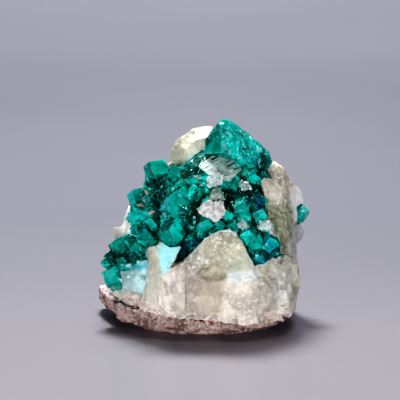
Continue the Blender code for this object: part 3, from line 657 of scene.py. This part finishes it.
def make_small_crystals():
    """Little crystals that grew over the big ones, in slanting rows on the summit crystal."""
    draw = random.Random(31)
    shape = copied("dioptase_cluster")
    bmesh.ops.triangulate(shape, faces=shape.faces)

    rim, summit_back, summit_foot = -0.2, 2.0, 27.0

    def on_summit(place, normal):
        inside = depth_inside(np.array([list(place)]), CROWN_MAIN)[0]
        return inside > rim and normal.y < 0.2 and place.y < summit_back

    def in_front(place, normal):
        spot = np.array([list(place)])
        clear = any(depth_inside(spot, corners)[0] > rim for corners in CLEAR_FACES)
        return normal.y < -0.2 and place.z < summit_foot and not clear and not on_summit(place, normal)

    summit = surface_spots(shape, SUMMIT_COUNT, draw, on_summit)
    everywhere = surface_spots(shape, SMALL_COUNT, draw, in_front)
    shape.free()

    grown = bmesh.new()
    slope = Vector((0.66, -0.2, -0.52))
    for place, normal in summit:
        axis = (normal * 0.9 + slope * draw.uniform(0.5, 1.1)).normalized()
        radius = draw.uniform(0.22, 0.6)
        crystal_into(grown, place - axis * radius, axis, draw.uniform(-0.15, 0.15), radius, radius * 1.75)
    shade_facets(grown, 2, 0.4)
    made = object_of(grown, "summit_overgrowth", DIOPTASE)
    corners_each = len(made.data.vertices) // len(summit)
    bright = np.repeat([draw.random() < 0.3 for _ in summit], corners_each) * 0.9
    # The summit's lower right end gets painted shade here too
    paint(made, (0.03, 0.98, 0.88), [CRYSTAL_ZONES["summit_shaded_end"]], [(bright, (0.32, 1.0, 0.98))])

    grown = bmesh.new()
    for place, normal in everywhere:
        stray = Vector([draw.uniform(-0.6, 0.6) for _ in range(3)])
        axis = (normal + stray).normalized()
        radius = draw.uniform(0.15, 0.42)
        crystal_into(grown, place - axis * radius * 0.8, axis, draw.uniform(0, 1.0), radius, radius * 2.2)
    shade_facets(grown, 3)
    made = object_of(grown, "small_crystals", DIOPTASE)
    big_crystals = BVHTree.FromBMesh(copied("dioptase_cluster"))
    # Painted shade where the big crystals hide the small ones
    hollow_shade = soft_step(hollows(made, big_crystals, SHADE_REACH), 0.1, 0.8)
    paint(made, (0.0, 0.78, 0.66), CRYSTAL_ZONES.values(), [(hollow_shade * 0.7, (0.0, 0.06, 0.055))])


# The flat face of the broken crystal below the summit: its corners, where it faces and how its striae run
PLATE_CORNERS = [
    (-1.0, -4.8, 27.5), (1.0, -2.9, 28.7), (2.9, -1.8, 29.3), (4.3, -2.7, 28.6),
    (6.5, -4.6, 27.2), (4.3, -7.4, 25.5), (3.1, -7.1, 25.7), (0.8, -6.4, 26.3),
]
PLATE_OUT = Vector((0.04, -0.56, 0.828)).normalized()
PLATE_ALONG = Vector((3.69, 2.21, 1.32)).normalized()
STRIA_GAP = 0.05


def clipped(outline, side, limit):
    """The part of a flat outline where side(corner) is below limit."""
    kept = []
    for start, end in zip(outline, outline[1:] + outline[:1]):
        a, b = side(start) - limit, side(end) - limit
        if a <= 0:
            kept.append(start)
        if a * b < 0:
            kept.append(start.lerp(end, a / (a - b)))
    return kept


def make_plate_striae():
    """Long thin steps on the flat face of the broken crystal below the summit."""
    draw = random.Random(12)
    across = PLATE_OUT.cross(PLATE_ALONG)
    outline = [Vector(corner) for corner in PLATE_CORNERS]
    low = min(corner.dot(across) for corner in outline)
    high = max(corner.dot(across) for corner in outline)
    shape = bmesh.new()
    while low < high:
        width = draw.uniform(0.14, 0.55)
        strip = clipped(outline, lambda corner: -corner.dot(across), -low)
        if len(strip) > 2:
            strip = clipped(strip, lambda corner: corner.dot(across), low + width - STRIA_GAP)
        low += width
        if len(strip) < 3:
            continue
        starts = [corner.dot(PLATE_ALONG) for corner in strip]
        cut = draw.uniform(min(starts), max(starts)) if draw.random() < 0.5 else max(starts)
        strip = clipped(strip, lambda corner: corner.dot(PLATE_ALONG), cut)
        if len(strip) < 3:
            continue
        lift = CRYSTAL_GROWTH + draw.uniform(0.06, 0.26)
        bottom = [shape.verts.new((corner - PLATE_OUT * 0.4 + LAYOUT_OFFSET) * MM) for corner in strip]
        top = [shape.verts.new((corner + PLATE_OUT * lift + LAYOUT_OFFSET) * MM) for corner in strip]
        shape.faces.new(top)
        shape.faces.new(bottom[::-1])
        for step in range(len(strip)):
            after = (step + 1) % len(strip)
            shape.faces.new((bottom[step], bottom[after], top[after], top[step]))
    made = object_of(shape, "plate_striae", STRIATED)
    # Pale grey-green: teal with a painted reflection of the lamp overhead
    paint(made, (0.46, 0.62, 0.56))


# Calcite

CLOUDY = (0.52, 0.48, 0.38)
BLUE_WHITE = (0.36, 0.90, 0.92)
CALCITE_ZONES = {
    "pink_foot": (
        [(-18.0, 5.5), (-9.0, 5.8), (0.0, 4.6), (14.5, 4.2), (15.0, 2.0), (-18.0, 2.0)],
        2.0, (0.74, 0.6, 0.55), 0.85),
    "knob": (
        [(-5.8, 27.0), (-5.8, 31.0), (-1.7, 33.4), (4.0, 33.6), (4.0, 28.0), (-2.0, 26.5)],
        9.0, (0.65, 0.63, 0.49), 0.95),
    "tooth": (
        [(-4.6, 11.7), (-2.3, 13.8), (0.3, 16.8), (2.7, 18.1), (5.0, 18.3), (6.9, 14.8), (5.9, 12.8),
         (1.8, 11.7)],
        -4.0, (0.5, 0.47, 0.33), 0.9),
    "tooth_right_face": (
        [(3.6, 12.5), (6.8, 14.9), (8.5, 11.8), (7.5, 10.5), (3.9, 10.5)],
        -5.0, (0.46, 0.47, 0.36), 0.9),
    # Painted shadow of the tooth on the calcite below it
    "shadow_below_tooth": (
        [(-1.4, 12.4), (3.6, 11.0), (3.6, 9.7), (1.3, 10.0), (-0.7, 10.7)],
        -5.0, (0.3, 0.28, 0.17), 0.9),
    "left_pane": (
        [(-7.6, 10.5), (-3.0, 12.8), (-3.3, 9.8), (-3.3, 6.4), (-3.0, 3.4), (-7.3, 4.4), (-7.8, 7.1)],
        -4.0, (0.78, 0.69, 0.63), 0.95),
    "window": (
        [(-3.3, 12.9), (-1.0, 11.9), (2.9, 9.9), (2.9, 6.5), (2.4, 3.3), (-2.3, 3.5), (-3.3, 6.5)],
        -4.0, (0.46, 0.38, 0.3), 0.95),
    "right_swell": (
        [(2.9, 9.7), (6.5, 10.7), (9.5, 9.7), (11.5, 7.3), (9.5, 3.6), (2.9, 3.2)],
        -3.0, (0.72, 0.64, 0.55), 0.95),
    "blue_white_ledge": (
        [(3.9, 11.2), (7.8, 11.5), (9.5, 10.5), (6.5, 9.6), (3.6, 9.6)],
        -3.0, (0.7, 0.78, 0.78), 0.8),
    "right_foot": (
        [(11.2, 10.9), (14.6, 9.9), (14.9, 5.8), (13.3, 3.7), (11.6, 6.5)],
        0.0, (0.56, 0.57, 0.54), 0.8),
    "brown_shoulder": (
        [(9.7, 25.5), (11.4, 27.6), (13.6, 26.2), (15.5, 23.1), (15.9, 20.4), (13.5, 20.0), (10.8, 21.4),
         (9.4, 23.1)],
        6.0, (0.5, 0.46, 0.37), 0.9),
    # Dark olive wall: the calcite's own translucent olive, with painted shade on this side
    "olive_wall": (
        [(9.0, 22.7), (11.0, 22.0), (13.3, 21.0), (15.8, 21.0), (16.1, 16.9), (15.1, 11.4), (12.1, 11.7),
         (10.4, 15.8), (9.0, 19.6)],
        6.0, (0.2, 0.22, 0.14), 0.9),
    "pale_shelf": (
        [(9.6, 19.8), (10.6, 18.4), (12.0, 15.4), (12.7, 12.3), (11.4, 11.6), (10.7, 15.4), (9.0, 17.7)],
        0.0, (0.7, 0.68, 0.6), 0.7),
    "blade": (
        [(-9.4, 12.6), (-8.8, 14.9), (-7.6, 15.6), (-7.3, 13.6), (-6.8, 11.2), (-7.7, 7.5), (-8.3, 5.9),
         (-9.6, 5.6)],
        -4.0, (0.5, 0.49, 0.4), 0.9),
    "blue_block": (
        [(-14.2, 10.5), (-12.7, 11.6), (-9.4, 11.6), (-9.4, 9.5), (-10.4, 6.1), (-13.4, 6.8), (-14.4, 8.5)],
        -2.0, (0.44, 0.8, 0.84), 0.9),
    "blue_block_top": (
        [(-13.1, 10.1), (-12.4, 11.1), (-11.1, 11.9), (-9.4, 12.5), (-9.4, 11.1), (-11.1, 10.4)],
        -2.0, (0.06, 0.52, 0.62), 0.9),
    "left_foot": (
        [(-17.5, 7.7), (-14.5, 7.7), (-13.8, 5.6), (-15.5, 5.3), (-17.5, 6.0)],
        0.0, (0.42, 0.58, 0.6), 0.9),
    "blue_face": (
        [(-7.8, 15.0), (-6.3, 16.0), (-3.8, 14.8), (-4.7, 13.3), (-5.8, 11.5), (-6.5, 10.4), (-7.1, 11.8)],
        -5.0, BLUE_WHITE, 1.0),
    "left_white_bud": (
        [(-15.4, 14.6), (-14.9, 17.0), (-12.2, 21.2), (-12.5, 19.1), (-11.4, 15.3), (-13.6, 13.9)],
        9.0, (0.92, 0.9, 0.86), 0.95),
    "right_white_bud": (
        [(14.6, 23.4), (17.6, 21.8), (17.6, 17.6), (15.4, 17.0), (14.8, 20.0)],
        10.0, (0.9, 0.89, 0.87), 0.95),
    "right_grey_bud": (
        [(15.2, 16.6), (17.8, 15.4), (17.6, 12.4), (15.4, 12.0)],
        10.0, (0.34, 0.36, 0.38), 0.9),
    "low_right": (
        [(10.7, 10.8), (13.2, 11.8), (14.4, 15.6), (15.5, 11.8), (15.4, 7.9), (11.9, 7.9)],
        -1.0, (0.66, 0.62, 0.56), 0.7),
}

# How thick the sugary veil is over a zone, and over all the rest
VEILS = {
    "tooth": 1.0, "left_pane": 0.6, "right_swell": 1.0, "blue_white_ledge": 0.8,
    "right_foot": 0.8, "brown_shoulder": 0.9, "knob": 0.5, "pink_foot": 0.9,
}
VEIL_ZONES = [(*CALCITE_ZONES[name][:2], veil) for name, veil in VEILS.items()]
VEIL_ZONES.append(([(-20, 0), (20, 0), (20, 40), (-20, 40)], 40.0, 0.35))

# Smooth places: an outline and the depth where each ends
CLEAN_FACES = ("tooth_right_face", "shadow_below_tooth", "window", "blade", "blue_block_top", "blue_face")
SMOOTH_ZONES = [(CALCITE_ZONES[name][0], -3.0) for name in CLEAN_FACES]
SMOOTH_ZONES += [
    ([(-15.8, 14.0), (-15.2, 18.0), (-12.4, 21.8), (-10.8, 20.0), (-11.0, 14.5)], 9.0),
    ([(14.4, 23.6), (17.8, 21.8), (17.8, 12.0), (14.6, 12.0)], 10.0),
]


def calcite_relief(place):
    """Cleavage steps of three sizes over a rough surface, in millimetres."""
    blocks = cell_tilt(place, 2.4, 5.0) * 0.24
    chips = cell_tilt(place, 0.9, 2.0) * 0.16
    small = cell_tilt(place, 0.45, 7.0) * 0.07
    rough = noise.fractal(place * 1.3, 1.0, 2.0, 4) * 0.10
    return blocks + chips + small + rough


def make_calcite():
    """The milky block, tinted where it meets the crystals."""
    crystals = BVHTree.FromBMesh(copied("dioptase_cluster"))
    shape = copied("calcite")
    grow(shape, ROCK_GROWTH)
    refine(shape, CALCITE_EDGE)
    displace(shape, calcite_relief, SMOOTH_ZONES)
    made = object_of(shape, "calcite_block", CALCITE, 20)
    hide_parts("calcite")
    seam = soft_step(nearness(made, crystals, 0.75), 0.3, 0.75)
    paint(made, CLOUDY, CALCITE_ZONES.values(), [(seam, (0.45, 0.98, 0.98))])
    keep_share(made, "veil", VEIL_ZONES)


def crumb_relief(place):
    """Small steps and lumps, in millimetres."""
    return cell_tilt(place, 0.55, 4.0) * 0.2 + noise.fractal(place * 2.2, 1.0, 2.0, 3) * 0.2


# The colour of each crumb and how many grains lie on it
CRUMBS = {
    "calcite_crumb_1": ((0.62, 0.62, 0.61), 90),
    "calcite_crumb_2": ((0.20, 0.30, 0.25), 14),
    "calcite_crumb_3": ((0.50, 0.66, 0.66), 60),
    "calcite_crumb_4": ((0.20, 0.34, 0.32), 34),
    "calcite_crumb_5": ((0.24, 0.42, 0.41), 16),
    "calcite_crumb_6": ((0.40, 0.60, 0.60), 34),
}


def make_crumbs():
    """White crumbs on the crystals, with sugary grains on each."""
    draw = random.Random(5)
    grains = bmesh.new()
    for node, (colour, count) in CRUMBS.items():
        shape = copied(node)
        grow(shape, ROCK_GROWTH)
        refine(shape, CRUMB_EDGE)
        displace(shape, crumb_relief)
        bmesh.ops.triangulate(shape, faces=shape.faces)
        spots = surface_spots(shape, count, draw, lambda place, normal: normal.y < 0.1)
        for place, _ in spots:
            edge = draw.uniform(0.1, 0.3)
            size = [edge * draw.uniform(0.7, 1.3) for _ in range(3)]
            rhomb_into(grains, place, random_turn(draw), size)
        made = object_of(shape, node + "_grains", WHITE, 25)
        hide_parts(node)
        paint(made, colour)
    made = object_of(grains, "sugary_grains", WHITE)
    paint(made, (0.90, 0.89, 0.89))


# Where chips of calcite are scattered: an outline of x and z corners, how many, their sizes and their colour
CHIP_ZONES = {
    "blue_chips": (
        [(-14.2, 10.3), (-12.7, 11.4), (-9.4, 12.2), (-9.4, 9.5), (-10.4, 6.1), (-13.4, 6.8)],
        14, (0.6, 1.3), (0.55, 0.88, 0.92)),
    "pink_chips": (
        [(-10.9, 23.2), (-9.2, 23.4), (-8.8, 20.2), (-10.4, 19.8)],
        4, (0.9, 1.4), (0.52, 0.44, 0.38)),
    "plate_chip": (
        [(-2.2, 26.6), (0.2, 27.0), (0.6, 25.6), (-1.6, 25.2)],
        3, (0.9, 1.5), (0.60, 0.54, 0.50)),
    "rind_grains": (
        [(-13.0, 6.4), (-9.0, 4.6), (0.0, 3.6), (9.0, 3.2), (14.0, 4.6), (13.6, 2.6), (8.0, 1.6),
         (-1.0, 2.2), (-9.0, 2.8), (-13.4, 4.6)],
        260, (0.2, 0.6), (0.66, 0.52, 0.47)),
    "shelf_chips": (
        [(9.6, 18.4), (11.0, 17.6), (12.4, 13.2), (11.4, 12.0), (10.4, 15.4)],
        26, (0.2, 0.55), (0.82, 0.86, 0.86)),
}


def make_chips():
    """Small cleavage chips of calcite that lie on the block and between the crystals."""
    draw = random.Random(17)
    for name, (outline, count, (low, high), colour) in CHIP_ZONES.items():
        shape = bmesh.new()
        for node in ("calcite", "dioptase_cluster", "host_rock"):
            shape.from_mesh(NODES[node].data)
        bmesh.ops.triangulate(shape, faces=shape.faces)

        def facing(place, normal):
            inside = depth_inside(np.array([list(place)]), outline)[0]
            return inside > -0.4 and normal.y < -0.25 and place.y < -1.0

        spots = surface_spots(shape, count, draw, facing)
        shape.free()
        chips = bmesh.new()
        for place, _ in spots:
            edge = draw.uniform(low, high)
            size = [edge, edge * draw.uniform(0.5, 1.0), edge * draw.uniform(0.4, 0.8)]
            rhomb_into(chips, place, random_turn(draw, 0.7), size)
        made = object_of(chips, name, WHITE)
        paint(made, colour)


# Painted highlights along seams and rims: the piece that each lies on, and places along it, x and z
SEAMS = [
    ("calcite", [(-7.2, 11.3), (-5.0, 12.5), (-3.2, 13.1), (-1.2, 14.9), (0.4, 16.9), (2.7, 18.0),
                 (4.9, 18.2), (6.6, 15.2), (8.2, 12.2)]),
    ("calcite", [(8.3, 12.0), (10.4, 12.7), (12.6, 13.3)]),
    ("dioptase_cluster", [(6.4, 32.8), (7.6, 31.8), (9.0, 30.4), (10.3, 29.1), (11.0, 28.1)]),
]
SEAM_STEP = 0.25

# How far back, in layout millimetres: before all pieces, the calcite's front, and behind its front parts
BEFORE_ALL = -40.0
CALCITE_FRONT = -11.0
BEHIND_FRONT = -5.0


def make_highlight_seams():
    """Thin tubes of painted highlight along bright edges, snapped to the surface of the calcite and of the
    summit crystal.
    """
    trees = {node: BVHTree.FromBMesh(copied(node)) for node in ("calcite", "dioptase_cluster")}
    draw = random.Random(3)
    shape = bmesh.new()
    for node, seam in SEAMS:
        block = trees[node]
        rings = []
        for (x1, z1), (x2, z2) in zip(seam, seam[1:]):
            steps = max(2, int(math.hypot(x2 - x1, z2 - z1) / SEAM_STEP))
            for step in range(steps):
                share = step / steps
                x, z = x1 + (x2 - x1) * share, z1 + (z2 - z1) * share
                spot = block.ray_cast(at(x, BEFORE_ALL, z), Vector((0, 1, 0)))[0]
                if spot is None or (node == "calcite" and spot.y > at(0, BEHIND_FRONT, 0).y):
                    spot = block.find_nearest(at(x, CALCITE_FRONT, z))[0]
                along = Vector((x2 - x1, 0, z2 - z1)).normalized()
                across = along.cross(Vector((0, 1, 0)))
                radius = draw.uniform(0.12, 0.2) * MM
                ring = [across * math.cos(turn) + Vector((0, 1, 0)) * math.sin(turn)
                        for turn in (0.0, math.tau / 4, math.tau / 2, math.tau * 3 / 4)]
                rings.append([shape.verts.new(spot + corner * radius) for corner in ring])
        for near, far in zip(rings, rings[1:]):
            for side in range(4):
                after = (side + 1) % 4
                shape.faces.new((near[side], near[after], far[after], far[side]))
        shape.faces.new(rings[0][::-1])
        shape.faces.new(rings[-1])
    made = object_of(shape, "painted_highlight_seams", WHITE)
    # A pale cyan-white painted highlight
    paint(made, (0.62, 0.98, 0.98))


# Host rock

RUST = (0.20, 0.07, 0.04)
ROCK_ZONES = {
    "bluish_left_rim": (
        [(-18.8, 7.4), (-13.6, 7.0), (-13.8, 4.2), (-18.8, 4.3)],
        9.0, (0.66, 0.78, 0.8), 0.9),
    "rust_line": (
        [(-3.2, 3.9), (0.0, 3.7), (4.0, 3.4), (6.0, 2.9), (4.0, 2.5), (0.0, 2.7), (-3.2, 3.1)],
        -4.0, RUST, 0.9),
}


def rock_relief(place):
    """Lumps and grains, and none at the flat base."""
    flat, full = 0.25, 0.8
    if place.z < flat:
        return 0.0
    lumps = noise.fractal(place * 0.8, 1.0, 2.0, 4) * 0.35
    grains = cell_tilt(place, 0.6, 6.0) * 0.2
    return (lumps + grains) * min(1.0, (place.z - flat) / full)


def make_rock():
    """The rind of host rock under the block."""
    shape = copied("host_rock")
    grow(shape, ROCK_GROWTH)
    refine(shape, RIND_EDGE)
    displace(shape, rock_relief)
    made = object_of(shape, "host_rock_rind", ROCK, 35)
    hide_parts("host_rock")
    paint(made, (0.36, 0.25, 0.23), ROCK_ZONES.values())


# Floor, light and camera

def area_light(name, place, aim, size, watts):
    data = bpy.data.lights.new(name, "AREA")
    data.shape = "RECTANGLE"
    data.size, data.size_y = size
    data.energy = watts
    lamp = bpy.data.objects.new(name, data)
    lamp.location = place
    lamp.rotation_euler = (Vector(aim) - Vector(place)).to_track_quat("-Z", "Y").to_euler()
    bpy.context.scene.collection.objects.link(lamp)


def make_backdrop():
    """A floor that sweeps up into a backdrop behind the specimen."""
    half, start, bend, top, steps = 0.9, 0.6, 0.3, 1.0, 16
    profile = [(-half, 0.0), (start, 0.0)]
    for step in range(1, steps + 1):
        turn = math.radians(90) * step / steps
        profile.append((start + bend * math.sin(turn), bend - bend * math.cos(turn)))
    profile.append((start + bend, top))
    shape = bmesh.new()
    rows = [[shape.verts.new((x, y, z)) for x in (-half, half)] for y, z in profile]
    for near, far in zip(rows, rows[1:]):
        shape.faces.new((near[0], near[1], far[1], far[0]))
    mesh = bpy.data.meshes.new("floor")
    shape.to_mesh(mesh)
    shape.free()
    mesh.shade_smooth()
    mesh.materials.append(floor_material())
    floor = bpy.data.objects.new("floor", mesh)
    bpy.context.scene.collection.objects.link(floor)


# Dark places look darker still: how bright each is, and how bright it is shown
DARK_RESPONSE = [(0.05, 0.014), (0.10, 0.055), (0.20, 0.185), (0.35, 0.35), (0.6, 0.6)]


def make_stage():
    """The floor, a dim studio, a lamp overhead, a soft light in front and three small sparks."""
    make_backdrop()
    world = bpy.data.worlds.new("studio")
    world.use_nodes = True
    background = world.node_tree.nodes["Background"]
    background.inputs["Color"].default_value = (0.36, 0.37, 0.44, 1.0)
    background.inputs["Strength"].default_value = 0.08
    bpy.context.scene.world = world
    view = bpy.context.scene.view_settings
    view.view_transform = "Standard"
    view.use_curve_mapping = True
    all_channels = view.curve_mapping.curves[3]
    for dark, shown in DARK_RESPONSE:
        all_channels.points.new(dark, shown)
    view.curve_mapping.update()

    middle = at(0, 0, 16)
    area_light("overhead", middle + Vector((-0.02, 0.13, 0.24)), middle, (0.06, 0.04), 1.4)
    area_light("far_floor", at(0, 300, 600), at(0, 700, 0), (0.5, 0.2), 4.0)
    area_light("front_fill", middle + Vector((-0.06, -0.45, 0.03)), middle, (0.36, 0.08), 1.4)
    area_light("spark_left", middle + Vector((-0.22, -0.24, 0.03)), middle, (0.012, 0.012), 0.18)
    area_light("spark_right", middle + Vector((0.26, -0.16, 0.03)), middle, (0.012, 0.012), 0.18)
    area_light("spark_high", middle + Vector((0.05, 0.02, 0.30)), middle, (0.012, 0.012), 0.14)


def make_camera():
    """A long lens, a little above the middle of the specimen and looking slightly down."""
    distance = 0.28
    elevation = math.radians(11.0)
    data = bpy.data.cameras.new("camera")
    data.lens = 148.2
    data.sensor_width = 36.0
    data.clip_start, data.clip_end = 0.01, 5.0
    camera = bpy.data.objects.new("camera", data)
    target = at(-0.7, 0.0, 21.0)
    camera.location = target + Vector((0.0, -math.cos(elevation), math.sin(elevation))) * distance
    camera.rotation_euler = (target - camera.location).to_track_quat("-Z", "Y").to_euler()
    bpy.context.scene.collection.objects.link(camera)
    bpy.context.scene.camera = camera


make_crystals()
make_small_crystals()
make_plate_striae()
make_calcite()
make_crumbs()
make_chips()
make_highlight_seams()
make_rock()
make_stage()
make_camera()
